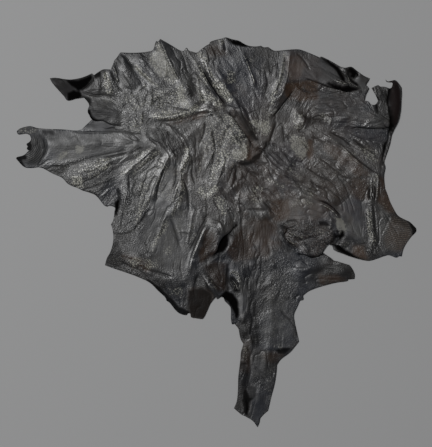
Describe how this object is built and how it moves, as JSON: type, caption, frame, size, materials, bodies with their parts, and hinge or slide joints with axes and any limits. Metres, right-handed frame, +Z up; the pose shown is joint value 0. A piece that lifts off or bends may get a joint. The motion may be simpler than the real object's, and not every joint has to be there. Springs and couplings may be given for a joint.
{
  "type": "leather hide",
  "caption": "One whole small skin of black grain leather, lying crumpled on a flat surface, with its shanks, ear flap, torn neck tab and folds",
  "frame": {"origin": "on the surface the hide lies on, under the middle of its box", "axes": "+Z up off the surface, +X from the left shank to the right shank, +Y towards the neck edge"},
  "size_m": [0.9964, 0.9714, 0.0165],
  "materials": {
    "leather": "semi-gloss pebbled grain, black with brown casts in the folds"
  },
  "bodies": {
    "root": {"hide": "leather"}
  },
  "joints": []
}
